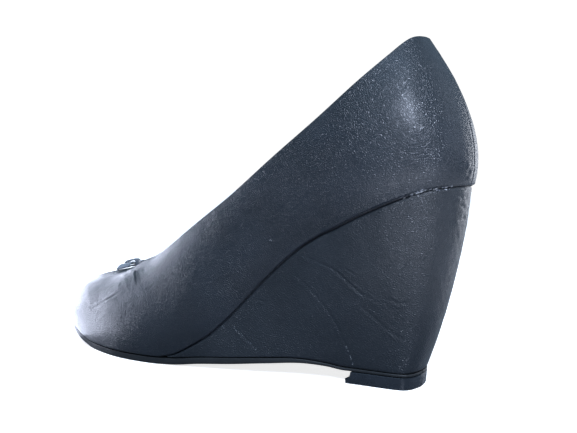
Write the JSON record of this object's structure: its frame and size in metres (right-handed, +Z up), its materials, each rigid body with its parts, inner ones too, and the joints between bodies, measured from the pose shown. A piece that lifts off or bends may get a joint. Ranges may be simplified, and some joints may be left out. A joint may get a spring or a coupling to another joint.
{
  "type": "wedge pump",
  "caption": "Women's closed wedge pump in black leather: low-cut upper, high covered wedge heel, thin outsole, hard top piece, insole and a small flat bow at the throat.",
  "frame": {"origin": "on the floor, under the middle of the shoe's length and width", "axes": "-X to the toe, +X to the heel, -Y the outer side of the foot, +Y the inner side, +Z up"},
  "size_m": [0.2354, 0.0794, 0.1496],
  "materials": {
    "upper_leather": "fine pebble grain, soft gloss",
    "wedge_leather": "smooth, slightly creased, soft gloss",
    "outsole": "matt",
    "top_piece": "semi-gloss",
    "insole": "matt lining"
  },
  "bodies": {
    "root": {"upper": "upper_leather", "wedge": "wedge_leather", "outsole": "outsole", "top_piece": "top_piece", "insole": "insole", "bow_loops": "upper_leather", "bow_band": "upper_leather"}
  },
  "joints": []
}
